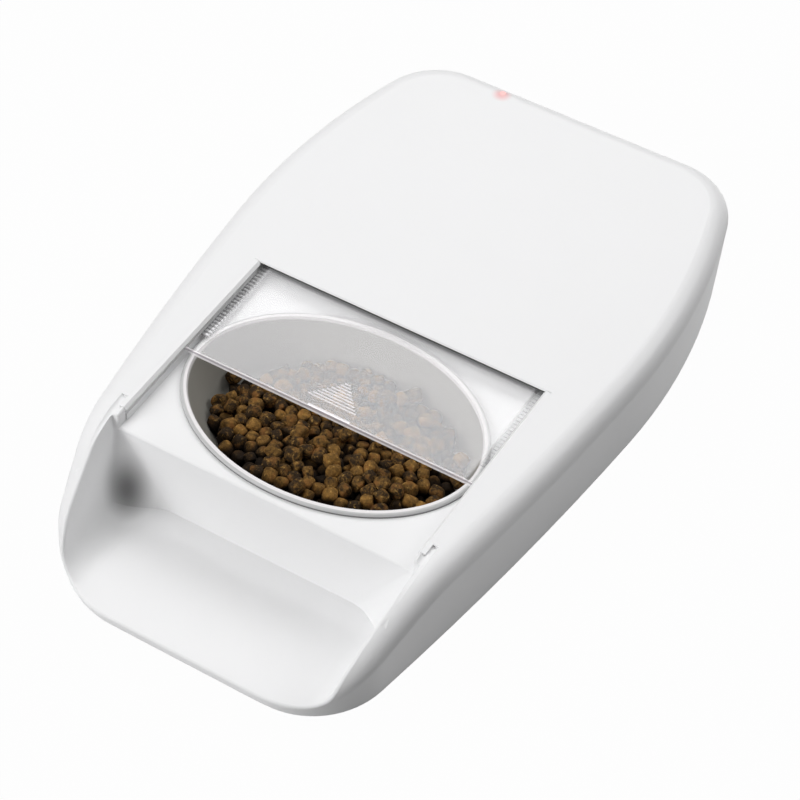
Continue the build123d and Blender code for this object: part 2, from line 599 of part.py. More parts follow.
def coil_parts():
    """Grooved former round the bowl well, and its winding."""
    fit, wall, depth, flange = 0.1, 3.0, 1.6, 1.5
    low_a, low_b = well_outer(COIL_LOW_Z, fit)
    high_a, high_b = well_outer(COIL_HIGH_Z, fit)
    outer_a, outer_b = high_a + wall, high_b + wall
    hole = oval_cone(low_a, low_b, COIL_LOW_Z, high_a, high_b, COIL_HIGH_Z)
    former = extrude(oval(outer_a, outer_b, COIL_LOW_Z), COIL_HIGH_Z - COIL_LOW_Z) - hole
    low, height = COIL_LOW_Z + flange, COIL_HIGH_Z - COIL_LOW_Z - 2 * flange
    core = extrude(oval(outer_a - depth, outer_b - depth, low - 1), height + 2)
    groove = extrude(oval(outer_a + 2, outer_b + 2, low), height) - core
    winding = extrude(oval(outer_a - 0.2, outer_b - 0.2, low), height) - core
    return {"coil_former": former - groove, "antenna_coil": winding}


# ---------------------------------------------------------------- electrics
def end_switch(y):
    """Lever switch that the tab under the lid presses."""
    x0, x1 = -68.0, -57.5
    body = span_box(x0, x1, y - 2.9, y + 2.9, SWITCH_Z, SWITCH_Z + SWITCH_HEIGHT)
    return body + span_box(x0 + 2, x1 - 1.5, y - 1.5, y + 1.5, SWITCH_Z + SWITCH_HEIGHT, PLATFORM_Z - 0.15)


def main_board_parts():
    """Processor, two capacitors and two connectors."""
    top = BOARD_Z + BOARD_THICK
    parts = span_box(-8, 4, 95, 107, top, top + 1.4)
    parts += rod_z(30, 110, top, top + 9, 4) + rod_z(30, 98, top, top + 9, 4)
    return parts + span_box(-40, -26, 80, 86, top, top + 7) + span_box(12, 24, 80, 84.5, top, top + 6)


def button_parts(name, x):
    """Switch on the small board, its plunger and the cap in the rear panel."""
    y0 = BUTTON_BOARD_Y + BOARD_THICK
    switch = span_box(x - 3, x + 3, y0, y0 + 3.5, BUTTON_Z - 3, BUTTON_Z + 3)
    switch -= rod_y(x, y0 + 1.5, y0 + 4, BUTTON_Z, PLUNGER_R + RUNNING_GAP)
    plunger = rod_y(x, y0 + 2.5, PLUNGER_TIP_Y, BUTTON_Z, PLUNGER_R)
    return {name + "_switch": switch, name + "_plunger": plunger, name + "_button": button_cap(x)}


def status_light():
    """Light pipe in the deck, and the lamp under it on its stalk from the small board."""
    pipe_low, lamp_low = 54.0, 50.0
    lamp = rod_z(LED_X, LED_Y, lamp_low, pipe_low, LED_R)
    lamp += span_box(LED_X - 1, LED_X + 1, BUTTON_BOARD_Y + BOARD_THICK, LED_Y, lamp_low + 0.6, lamp_low + 1.2)
    return {"status_light_pipe": rod_z(LED_X, LED_Y, pipe_low, DECK_Z, LED_R), "status_led": lamp}


def battery_parts():
    """Four cells, two and two end to end, and the contact plates at the ends of the bay."""
    nub, half_gap, row_y, plate = 1.5, 0.8, 13.7, 0.5
    cells, plates = [], []
    for y in (BAY_Y - row_y, BAY_Y + row_y):
        for x in (-CELL_LENGTH - half_gap, half_gap):
            end_x = x + CELL_LENGTH
            cells.append(rod_x(x, end_x - nub, y, CELL_Z, CELL_R) + rod_x(end_x - nub, end_x, y, CELL_Z, 3.2))
        for x in (-BAY_HALF_X, BAY_HALF_X - plate):
            plates.append(span_box(x, x + plate, y - 9, y + 9, CELL_Z - 9, CELL_Z + 9))
    return {"battery_cells": Compound(children=cells), "battery_contacts": Compound(children=plates)}


# ---------------------------------------------------------------- feet and screws
def rubber_feet():
    """Four round feet in the pockets of the base."""
    return Compound(children=[both_sides(rod_z(x, y, 0, SKIRT_Z + 0.6, FOOT_R)) for x, y in FEET_PLACES])


def housing_screws():
    """Eight screws from below into the bosses of the housing."""
    head_z, neck_z, tip_z = SKIRT_Z + 0.2, SKIRT_Z + 1.6, BASE_TOP_Z + 5.5
    screws = []
    for x, y in SCREW_PLACES:
        screws.append(both_sides(rod_z(x, y, head_z, neck_z, 2.8) + rod_z(x, y, neck_z, tip_z, 1.3)))
    return Compound(children=screws)


# ---------------------------------------------------------------- write every node
right_strip = guide_rail()
nodes = {
    "upper_housing": upper_housing(),
    "rear_panel": rear_panel(),
    "base_plate": base_plate(),
    "right_guide_rail": right_strip,
    "left_guide_rail": mirror(right_strip, about=Plane.YZ),
    "lid": lid(),
    "right_rack": rack(1),
    "left_rack": rack(-1),
    "bowl": bowl(),
    "kibble": kibble(),
    "drive_shaft": rod_x(-RIB_OUTER - 2, GEAR_X + GEAR_WIDTH + 1, SHAFT_Y, SHAFT_Z, SHAFT_R),
    "idler_pin": rod_x(RIB_INNER, GEAR_X + GEAR_WIDTH + 1, SHAFT_Y, IDLER_Z, SHAFT_R),
    "right_bush": bush(1),
    "left_bush": bush(-1),
    "closed_switch": end_switch(SWITCH_YS["closed"]),
    "open_switch": end_switch(SWITCH_YS["open"]),
    "main_board": span_box(-BOARD_HALF_X, BOARD_HALF_X, BOARD_Y0, BOARD_Y1, BOARD_Z, BOARD_Z + BOARD_THICK),
    "board_components": main_board_parts(),
    "button_board": span_box(-55, 59, BUTTON_BOARD_Y, BUTTON_BOARD_Y + BOARD_THICK, 15, 53),
    "battery_door": battery_door(),
    "rubber_feet": rubber_feet(),
    "housing_screws": housing_screws(),
}
for group in (drive_gears(), motor_parts(), coil_parts(), status_light(), battery_parts()):
    nodes.update(group)
for label, button_x in BUTTON_XS.items():
    nodes.update(button_parts(label, button_x))
for node, shape in nodes.items():
    save(node, shape)
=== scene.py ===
import math
import random

import bmesh
import bpy
import numpy as np
from mathutils import Euler, Matrix, Vector


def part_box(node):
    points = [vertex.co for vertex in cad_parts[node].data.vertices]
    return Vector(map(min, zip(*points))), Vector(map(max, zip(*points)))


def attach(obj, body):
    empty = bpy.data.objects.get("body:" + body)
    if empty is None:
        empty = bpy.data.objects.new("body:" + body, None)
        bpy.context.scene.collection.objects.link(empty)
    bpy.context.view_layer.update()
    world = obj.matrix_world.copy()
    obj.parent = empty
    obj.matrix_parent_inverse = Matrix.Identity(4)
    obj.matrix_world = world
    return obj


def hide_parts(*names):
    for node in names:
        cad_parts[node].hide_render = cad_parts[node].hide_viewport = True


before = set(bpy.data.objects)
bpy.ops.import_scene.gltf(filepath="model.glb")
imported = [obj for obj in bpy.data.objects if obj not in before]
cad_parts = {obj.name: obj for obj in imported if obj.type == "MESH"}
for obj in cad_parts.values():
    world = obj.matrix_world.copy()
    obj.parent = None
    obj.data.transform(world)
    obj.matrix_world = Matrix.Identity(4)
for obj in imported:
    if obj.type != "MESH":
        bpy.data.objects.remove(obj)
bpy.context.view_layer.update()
MM = 0.001

# ---------------------------------------------------------------- places on the feeder
BOWL_LOW, BOWL_HIGH = (np.array(corner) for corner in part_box("bowl"))
LID_LOW, LID_HIGH = (np.array(corner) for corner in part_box("lid"))
LIGHT_LOW, LIGHT_HIGH = (np.array(corner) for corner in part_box("status_light_pipe"))
BOWL_CENTRE = (BOWL_LOW + BOWL_HIGH) / 2
BOWL_FLANGE = 3.0 * MM
BOWL_TAPER = 12.0 * MM
BOWL_FLOOR = 0.0018
LID_BAR_HEIGHT = 0.3 * MM
LID_TOP_Z = float(LID_HIGH[2]) - LID_BAR_HEIGHT
RACK_PITCH = 0.7 * math.pi * MM
RACK_TOOTH_Y = 20.0 * MM + RACK_PITCH / 2

# slot between the deck and the lid, and how softly its painted shade ends
SLOT_Y = 6.0 * MM
SLOT_HALF = 78.0 * MM
SLOT_SHADE_Z = 59.2 * MM
SLOT_SIDE_FADE = 0.4 * MM
SLOT_TOP_FADE = 0.2 * MM
SLOT_FRONT_FADE = (-0.4 * MM, -0.1 * MM)
SLOT_REAR_FADE = (1.0 * MM, 2.0 * MM)

# painted shade in the left inner corner of the tray: squeezed across, stretched up the wall
SHADE_CORNER = (-68.6 * MM, -116.5 * MM, 24.0 * MM)
SHADE_REACH = (0.5 * MM, 15.0 * MM)
SHADE_ACROSS = 1.1
SHADE_UP = 0.62
SHADE_STRENGTH = 0.82

# painted red glow of the status light on the wall round it
HALO_REACH = (0.5 * MM, 6.0 * MM)
HALO_WALL = (-4.0 * MM, -1.0 * MM)
HALO_FORWARD = 1.0 * MM

# ---------------------------------------------------------------- camera
CAMERA_PLACE = (0.4378, -0.6946, 0.9399)
CAMERA_PITCH = 48.4466
CAMERA_AZIMUTH = 31.988
CAMERA_ROLL = -0.0816
LENS = 118.55
SENSOR_WIDTH = 36.0
SIGHT_LIMIT = 20.0

# ---------------------------------------------------------------- colours
HOUSING_WHITE = (0.86, 0.86, 0.865)
# the bowl: painted shade inside, its own pale lip, painted shade on the rim and a painted shadow line at its
# foot
BOWL_INSIDE_SHADE = (0.27, 0.26, 0.235)
BOWL_LIP = (0.78, 0.755, 0.76)
BOWL_RIM_SHADE = (0.52, 0.52, 0.52)
BOWL_FOOT_SHADOW = (0.16, 0.16, 0.16)
# painted shade in the slot under the deck's edge
SLOT_PAINTED_SHADE = (0.02, 0.02, 0.022)
# painted shade deep in the tray's left corner
CORNER_PAINTED_SHADE = (0.10, 0.10, 0.10)
# painted red glow round the status light
HALO_PAINTED_GLOW = (0.86, 0.50, 0.50)
BASE_GREY = (0.72, 0.72, 0.73)
LID_HAZE = 0.25
LID_VEIL = (0.92, 0.915, 0.93)
# painted highlight on the lid's raised bars and cut edge; grey for the upper cut face
LID_HIGHLIGHT = (0.96, 0.93, 0.95)
LID_CUT = (0.50, 0.46, 0.50)
# rack teeth, with painted shade in the gaps between them (dark on the left rack, faint on the right)
RACK_GAP_SHADE = (0.24, 0.24, 0.245)
RACK_PALE = (0.80, 0.80, 0.81)
RACK_PALE_GAP_SHADE = (0.70, 0.70, 0.71)
KIBBLE_DARK = (0.024, 0.012, 0.003)
KIBBLE_LIGHT = (0.36, 0.185, 0.040)
KIBBLE_RED = (0.21, 0.085, 0.022)
KIBBLE_FLECK = (0.60, 0.37, 0.11)
# painted shade on pieces deep in the heap
KIBBLE_SHADE = (0.010, 0.005, 0.002)
GEAR_CREAM = (0.80, 0.78, 0.70)
STEEL = (0.62, 0.62, 0.64)
BRASS = (0.72, 0.55, 0.25)
COPPER = (0.70, 0.32, 0.15)
MOULDING_BLACK = (0.02, 0.02, 0.022)
CELL_WRAP = (0.05, 0.06, 0.08)
FOOT_BLACK = (0.03, 0.03, 0.032)
BOARD_GREEN = (0.02, 0.16, 0.07, 1)
BOARD_GREEN_PALE = (0.03, 0.22, 0.09, 1)
TRACE_GREEN = (0.10, 0.38, 0.18, 1)
PIPE_RED = (0.84, 0.42, 0.40)
PIPE_RED_PALE = (0.90, 0.50, 0.48)
FLOOR_GREY = (0.3, 0.3, 0.3, 1)
FLOOR_GLOW = 0.98
WHITE = (1, 1, 1, 1)
ROOM_STRENGTH = 0.04


# ---------------------------------------------------------------- shader maths
class Socket:
    """A node's output, with arithmetic that adds the nodes it needs."""

    def __init__(self, paint, output):
        self.paint, self.output = paint, output

    def math(self, operation, *others, clamp=False):
        settings = {"operation": operation, "use_clamp": clamp}
        return self.paint.node("ShaderNodeMath", settings, dict(enumerate((self, *others))))

    def __add__(self, other):
        return self.math("ADD", other)

    def __sub__(self, other):
        return self.math("SUBTRACT", other)

    def __rsub__(self, other):
        return self.paint.node("ShaderNodeMath", {"operation": "SUBTRACT"}, {0: other, 1: self})

    def __mul__(self, other):
        return self.math("MULTIPLY", other)

    def __truediv__(self, other):
        return self.math("DIVIDE", other)

    __radd__, __rmul__ = __add__, __mul__

    def clamp(self):
        return self.math("ADD", 0.0, clamp=True)

    def between(self, low, high):
        """0 below low, 1 above high, smooth in the middle."""
        settings = {"interpolation_type": "SMOOTHSTEP"}
        values = {"Value": self, "From Min": low, "From Max": high}
        return self.paint.node("ShaderNodeMapRange", settings, values)


def opaque(value):
    """A plain colour gets its fourth value; anything else stays as it is."""
    return (*value, 1.0) if isinstance(value, tuple) and len(value) == 3 else value


class Paint:
    """One material under construction, or the world."""

    def __init__(self, name, kinds=bpy.data.materials, end="ShaderNodeOutputMaterial"):
        self.made = kinds.new(name)
        self.made.use_nodes = True
        self.tree = self.made.node_tree
        self.tree.nodes.clear()
        self.end = end

    def node(self, kind, settings=None, values=None, output=0):
        """A node of a kind: its settings first, then the values or links of its sockets."""
        made = self.tree.nodes.new(kind)
        for key, value in (settings or {}).items():
            setattr(made, key, value)
        for key, value in (values or {}).items():
            if isinstance(value, Socket):
                self.tree.links.new(value.output, made.inputs[key])
            else:
                made.inputs[key].default_value = value
        return Socket(self, made.outputs[output]) if made.outputs else None

    def place(self):
        """Object coordinates, in metres."""
        return self.node("ShaderNodeTexCoord", output="Object")

    def axes(self):
        """The three object coordinates apart."""
        first = self.node("ShaderNodeSeparateXYZ", None, {0: self.place()})
        return [Socket(self, output) for output in first.output.node.outputs]

    def noise(self, scale, detail=4.0, roughness=0.5, vector=None):
        values = {"Vector": vector or self.place(), "Scale": scale, "Detail": detail, "Roughness": roughness}
        return self.node("ShaderNodeTexNoise", None, values)

    def mix(self, factor, a, b):
        """Colour a where factor is 0, colour b where it is 1."""
        values = {0: factor, 6: opaque(a), 7: opaque(b)}
        return self.node("ShaderNodeMix", {"data_type": "RGBA"}, values, output=2)

    def bump(self, height, strength, distance):
        values = {"Height": height, "Strength": strength, "Distance": distance}
        return self.node("ShaderNodeBump", None, values)

    def surface(self, **values):
        """Principled shader to the output; names use underscores for spaces."""
        named = {key.replace("_", " "): opaque(value) for key, value in values.items()}
        return self.finish(self.node("ShaderNodeBsdfPrincipled", None, named))

    def between_shaders(self, factor, a, b):
        """Shader a where factor is 0, shader b where it is 1."""
        return self.node("ShaderNodeMixShader", None, {0: factor, 1: a, 2: b})

    def finish(self, shader):
        """The last shader to the output."""
        self.node(self.end, None, {"Surface": shader})
        return self.made


# ---------------------------------------------------------------- finishes
def slot_shade(paint):
    """Painted shade: 1 on the edge of the deck that faces the lid, where the slot is always in shade."""
    x, y, z = paint.axes()
    across = 1 - x.math("ABSOLUTE").between(SLOT_HALF, SLOT_HALF + SLOT_SIDE_FADE)
    under = 1 - (z - SLOT_SHADE_Z).between(-SLOT_TOP_FADE, SLOT_TOP_FADE)
    along = (y - SLOT_Y).between(*SLOT_FRONT_FADE) * (1 - (y - SLOT_Y).between(*SLOT_REAR_FADE))
    return across * under * along * z.between(LID_TOP_Z - SLOT_TOP_FADE, LID_TOP_Z)


def corner_shade(paint):
    """Painted shade: 1 deep in the left inner corner of the tray, fading out over the coved walls."""
    x, y, z = paint.axes()
    across = (x - SHADE_CORNER[0]) * SHADE_ACROSS
    along = y - SHADE_CORNER[1]
    up = (z - SHADE_CORNER[2]) * SHADE_UP
    away = (across * across + along * along + up * up).math("SQRT")
    return 1 - away.between(*SHADE_REACH)


def light_halo(paint):
    """Painted red glow: 1 over the status light, on the white wall around it, as if its red showed through.
    """
    x, y, z = paint.axes()
    across = x - float((LIGHT_LOW[0] + LIGHT_HIGH[0]) / 2)
    along = y - float((LIGHT_LOW[1] + LIGHT_HIGH[1]) / 2) + HALO_FORWARD
    away = (across * across + along * along).math("SQRT")
    return (1 - away.between(*HALO_REACH)) * (z - float(LIGHT_HIGH[2])).between(*HALO_WALL)


PLASTIC_CLOUD = 14.0
MOTTLE_SHADE = 0.96
PLASTIC_SHEEN_SPREAD = 0.1
GRAIN = 900.0
GRAIN_ROUGHNESS = 0.6
GRAIN_STRENGTH = 0.25
GRAIN_DEPTH = 0.02 * MM


def moulded_plastic(name, colour, roughness, grain=GRAIN, depth=GRAIN_DEPTH, housing=False):
    """Fine spark-eroded grain with a faint uneven sheen; the housing also has painted shade in its slot and
    tray corner, and a painted red glow round its status light.
    """
    paint = Paint(name)
    cloud = paint.noise(PLASTIC_CLOUD, 3.0)
    grain_height = paint.noise(grain, 3.0, GRAIN_ROUGHNESS)
    darker = tuple(channel * MOTTLE_SHADE for channel in colour)
    tone = paint.mix(cloud, darker, colour)
    if housing:
        # painted shade in the slot and the tray's corner, and a painted red glow round the status light
        tone = paint.mix(slot_shade(paint), tone, SLOT_PAINTED_SHADE)
        tone = paint.mix(corner_shade(paint) * SHADE_STRENGTH, tone, CORNER_PAINTED_SHADE)
        tone = paint.mix(light_halo(paint), tone, HALO_PAINTED_GLOW)
    return paint.surface(
        Base_Color=tone,
        Roughness=roughness - PLASTIC_SHEEN_SPREAD / 2 + cloud * PLASTIC_SHEEN_SPREAD,
        Specular_IOR_Level=0.2,
        Normal=paint.bump(grain_height, GRAIN_STRENGTH, depth),
    )


CRUMB_SCALE, PATCH_SCALE, PIT_SCALE = 620.0, 210.0, 1300.0
BAKE_BY_PIECE, BAKE_BY_PATCH, BAKE_BY_CRUMB, BAKE_START = 0.62, 1.2, 1.9, 1.56
RED_PATCHES, RED_STRENGTH = (0.52, 0.70), 0.6
FLECKS, FLECK_STRENGTH = (0.57, 0.72), 0.7
# painted shade on pieces deeper in the heap
SHADE_DEPTHS, DEPTH_STRENGTH = (0.9 * MM, 5.0 * MM), 0.95
CRUMB_HEIGHT, PIT_HEIGHT = 0.9, 0.5
CRUMB_RELIEF = 0.5 * MM


def kibble_finish():
    """Baked crumb: golden cut faces, toasted patches, dark pits, and painted shade down between the pieces.
    """
    paint = Paint("baked_kibble")
    tone = paint.node("ShaderNodeAttribute", {"attribute_name": "tone"}, output="Fac")
    depth = paint.node("ShaderNodeAttribute", {"attribute_name": "depth"}, output="Fac")
    crumb = paint.noise(CRUMB_SCALE, 6.0, 0.7)
    patch = paint.noise(PATCH_SCALE, 3.0)
    pits = paint.node("ShaderNodeTexVoronoi", None, {"Vector": paint.place(), "Scale": PIT_SCALE})
    warmth = (tone * BAKE_BY_PIECE + patch * BAKE_BY_PATCH + crumb * BAKE_BY_CRUMB - BAKE_START).clamp()
    colour = paint.mix(warmth, KIBBLE_DARK, KIBBLE_LIGHT)
    colour = paint.mix(patch.between(*RED_PATCHES) * RED_STRENGTH, colour, KIBBLE_RED)
    colour = paint.mix(crumb.between(*FLECKS) * FLECK_STRENGTH, colour, KIBBLE_FLECK)
    # painted shade on pieces deeper in the heap
    colour = paint.mix(depth.between(*SHADE_DEPTHS) * DEPTH_STRENGTH, colour, KIBBLE_SHADE)
    height = crumb * CRUMB_HEIGHT + pits * PIT_HEIGHT
    return paint.surface(
        Base_Color=colour,
        Roughness=0.78 + patch * 0.1,
        Specular_IOR_Level=0.25,
        Normal=paint.bump(height, 0.9, CRUMB_RELIEF),
    )


BAR_SIDES = (0.06 * MM, 0.12 * MM)
LIP_TOP_DEPTH = (0.5 * MM, 0.9 * MM)
LIP_TOP_HEIGHT = (-0.06 * MM, -0.02 * MM)
LIP_FACE = (0.02 * MM, 0.06 * MM)
LIP_FOOT = (-1.6 * MM, -1.2 * MM)
RACK_INNER_X = (71.8 * MM, 72.4 * MM)
RACK_CLEARANCE = 0.2
BAR_HAZE, LIP_TOP_HAZE, LIP_FACE_HAZE = 0.4, 0.4, 0.45
SCUFF_SCALE = 40.0
ACRYLIC_IOR = 1.49


def lid_finish():
    """Clear acrylic with a milky veil, clearer over the racks, with painted highlight on the raised bars,
    along the top of the cut edge and at the foot of the cut face, which is grey above.
    It is clear to the light of the lamps and to light from other surfaces, so it casts no shade."""
    paint = Paint("clear_lid")
    x, y, z = paint.axes()
    above, behind = z - LID_TOP_Z, y - float(LID_LOW[1])
    scuff = paint.noise(SCUFF_SCALE, 2.0)
    bar = above.between(*BAR_SIDES)
    top_line = (1 - behind.between(*LIP_TOP_DEPTH)) * above.between(*LIP_TOP_HEIGHT)
    face = 1 - behind.between(*LIP_FACE)
    foot = 1 - above.between(*LIP_FOOT)
    # painted highlight on the bars, the top of the cut edge and the foot of the cut face; the rest of the
    # cut face grey
    veil = paint.mix(bar, LID_VEIL, LID_HIGHLIGHT)
    veil = paint.mix(top_line, veil, LID_HIGHLIGHT)
    veil = paint.mix(face, veil, LID_CUT)
    veil = paint.mix(face * foot, veil, LID_HIGHLIGHT)
    clear = x.math("ABSOLUTE").between(*RACK_INNER_X) * RACK_CLEARANCE
    body = (LID_HAZE - clear + bar * BAR_HAZE + top_line * LIP_TOP_HAZE + face * LIP_FACE_HAZE).clamp()
    lamp = paint.node("ShaderNodeLightPath", output="Is Shadow Ray")
    bounce = paint.node("ShaderNodeLightPath", output="Is Diffuse Ray")
    return paint.surface(
        Base_Color=veil,
        Roughness=0.14 + scuff * 0.06,
        Alpha=body * (1 - (lamp + bounce).clamp()),
        IOR=ACRYLIC_IOR,
    )


TOOTH_FLANK = 0.35


def rack_finish(name, gap, solid):
    """Clear rack seen from above: pale teeth, and painted shade in the gaps between them."""
    paint = Paint(name)
    along = paint.axes()[1]
    turn = (along - RACK_TOOTH_Y) * (2 * math.pi / RACK_PITCH)
    tooth = turn.math("COSINE").between(-TOOTH_FLANK, TOOTH_FLANK)
    return paint.surface(
        # painted shade in the gaps between the teeth
        Base_Color=paint.mix(tooth, gap, RACK_PALE),
        Roughness=0.3 + paint.noise(500.0) * 0.1,
        Alpha=solid,
        Specular_IOR_Level=0.2,
    )


RIM_START = (0.972, 0.982)
RIM_END = (0.9965, 0.9985)
RIM_FOOT_Z = (-1.4 * MM, -0.8 * MM)
LIP_Z = (-2.0 * MM, -0.8 * MM)


def bowl_finish():
    """Bowl plastic: painted shade inside, bright inner lip, painted shade on the turned-down rim, painted
    shadow line at the shelf.
    """
    paint = Paint("bowl_white")
    x, y, z = paint.axes()
    above = z - float(BOWL_HIGH[2])
    half = (BOWL_HIGH - BOWL_LOW) / 2
    across, along = x / float(half[0]), (y - float(BOWL_CENTRE[1])) / float(half[1])
    reach = (across * across + along * along).math("SQRT")
    rim = reach.between(*RIM_START)
    foot = reach.between(*RIM_END) * (1 - above.between(*RIM_FOOT_Z))
    cloud = paint.noise(30.0, 3.0)
    lip = above.between(*LIP_Z)
    # painted shade inside, on the rim and at its foot; the lip keeps the bowl's own colour
    colour = paint.mix(lip, BOWL_INSIDE_SHADE, BOWL_LIP)
    colour = paint.mix(rim, colour, BOWL_RIM_SHADE)
    colour = paint.mix(foot, colour, BOWL_FOOT_SHADOW)
    return paint.surface(
        Base_Color=colour,
        Roughness=0.26 + cloud * 0.1,
        Specular_IOR_Level=0.3,
        Normal=paint.bump(paint.noise(GRAIN, 3.0, GRAIN_ROUGHNESS), 0.2, GRAIN_DEPTH / 2),
    )


SCRATCH_STRETCH = 0.05
SCRATCH_SHADE = 0.8
SCRATCH_STRENGTH = 0.15
SCRATCH_DEPTH = 0.05 * MM


def metal(name, colour, roughness, brush=400.0):
    """Turned or drawn metal with fine scratches along one axis."""
    paint = Paint(name)
    x, y, z = paint.axes()
    stretch = paint.node("ShaderNodeCombineXYZ", None, {0: x * SCRATCH_STRETCH, 1: y, 2: z})
    lines = paint.noise(brush, 4.0, 0.6, stretch)
    return paint.surface(
        Base_Color=paint.mix(lines, tuple(channel * SCRATCH_SHADE for channel in colour), colour),
        Metallic=1.0,
        Roughness=roughness + lines * SCRATCH_STRENGTH,
        Normal=paint.bump(lines, SCRATCH_STRENGTH, SCRATCH_DEPTH),
    )


def circuit_board(name):
    """Solder mask with lighter traces."""
    paint = Paint(name)
    values = {
        "Vector": paint.place(),
        "Scale": 90.0,
        "Color1": BOARD_GREEN,
        "Color2": BOARD_GREEN_PALE,
        "Mortar": TRACE_GREEN,
        "Mortar Size": 0.03,
    }
    traces = paint.node("ShaderNodeTexBrick", {"offset": 0.5}, values)
    return paint.surface(Base_Color=traces, Roughness=0.35 + paint.noise(300.0) * 0.1)


def glowing_red():
    """Red light pipe, lit from below."""
    paint = Paint("status_light_glow")
    speck = paint.noise(2000.0)
    colour = paint.mix(speck, PIPE_RED, PIPE_RED_PALE)
    return paint.surface(Base_Color=colour, Roughness=0.3, Emission_Color=colour, Emission_Strength=0.1)


def dress(nodes, finish):
    """Give CAD nodes a finish."""
    for node in nodes:
        for slot in bpy.data.objects[node].material_slots:
            slot.material = finish


def dress_nodes():
    """Every CAD node gets its finish."""
    white_pieces = ["upper_housing", "rear_panel", "left_guide_rail", "right_guide_rail"]
    white_pieces += ["learn_button", "power_button"]
    grey_pieces = ["base_plate", "battery_door", "motor_bracket", "coil_former"]
    gears = ["left_pinion", "right_pinion", "shaft_gear", "idler_gear", "motor_gear"]
    steel_pieces = ["drive_shaft", "idler_pin", "motor_shaft", "motor", "housing_screws", "battery_contacts"]
    black_pieces = ["board_components", "open_switch", "closed_switch", "learn_switch", "power_switch"]
    black_pieces += ["learn_plunger", "power_plunger"]
    dress(white_pieces, moulded_plastic("housing_white", HOUSING_WHITE, 0.38, housing=True))
    dress(["bowl"], bowl_finish())
    dress(grey_pieces, moulded_plastic("base_grey", BASE_GREY, 0.55, grain=1400.0, depth=0.05 * MM))
    dress(["lid"], lid_finish())
    dress(["left_rack"], rack_finish("clear_rack", RACK_GAP_SHADE, 1.0))
    dress(["right_rack"], rack_finish("clearer_rack", RACK_PALE_GAP_SHADE, 0.15))
    dress(gears, moulded_plastic("gear_acetal", GEAR_CREAM, 0.45))
    dress(steel_pieces, metal("ground_steel", STEEL, 0.28))
    dress(["gearbox", "left_bush", "right_bush"], metal("turned_brass", BRASS, 0.3))
    dress(["antenna_coil"], metal("enamelled_copper", COPPER, 0.35, brush=1200.0))
    dress(["main_board", "button_board"], circuit_board("solder_mask"))
    dress(black_pieces, moulded_plastic("black_moulding", MOULDING_BLACK, 0.5))
    dress(["battery_cells"], moulded_plastic("cell_wrap", CELL_WRAP, 0.3))
    dress(["rubber_feet"], moulded_plastic("foot_rubber", FOOT_BLACK, 0.8, grain=500.0, depth=0.1 * MM))
    dress(["status_light_pipe", "status_led"], glowing_red())


# ---------------------------------------------------------------- kibble
KIBBLE_RADIUS = 0.0034
KIBBLE_SEED = 7
KIBBLE_FORMS = 14
KIBBLE_SIDES = 14
KIBBLE_SLANT = 0.18
KIBBLE_OVAL = 0.07
KIBBLE_LOBES = 0.05
KIBBLE_LUMPS = 0.022
ROD_PROFILE = [(-1.0, 0.0), (-1.03, 0.5), (-1.0, 0.82), (-0.8, 0.99), (0.0, 1.03)]
ROD_PROFILE += [(0.8, 0.99), (1.0, 0.82), (1.03, 0.5), (1.0, 0.0)]
STEP = KIBBLE_RADIUS * 1.86
ROW_STEP = STEP * 0.87
LAYER_STEP = STEP * 0.82
SCATTER = 0.0006
TOP_SCATTER = 0.0012
TOP_SINK = KIBBLE_RADIUS * 0.6
TOPMOST_LAYER = 0.054
HEAP_DEPTH = 0.016
SETTLE_ROUNDS = 60
SETTLE_RATE = 0.25
TOUCHING = 0.96
HEAP_TOP = 45.05 * MM
HEAP_CREST_X = 13.0 * MM
HEAP_TILT = 6.9
HEAP_CROWN = 312.0 * MM


def heap_height(x, y):
    """Top of the food over the bowl: banked up to the front, crowned across."""
    bank = (y - BOWL_CENTRE[1]) * math.tan(math.radians(HEAP_TILT))
    return HEAP_TOP - bank - (x - HEAP_CREST_X) ** 2 / (2 * HEAP_CROWN)


def wall_axes(z):
    """Half axes of the inside of the bowl at a height."""
    top, low = float(BOWL_HIGH[2]), float(BOWL_LOW[2])
    share = (top - z) / (top - low)
    a = (BOWL_HIGH[0] - BOWL_LOW[0]) / 2 - BOWL_FLANGE - BOWL_TAPER * share
    b = (BOWL_HIGH[1] - BOWL_LOW[1]) / 2 - BOWL_FLANGE - BOWL_TAPER * share
    return a, b


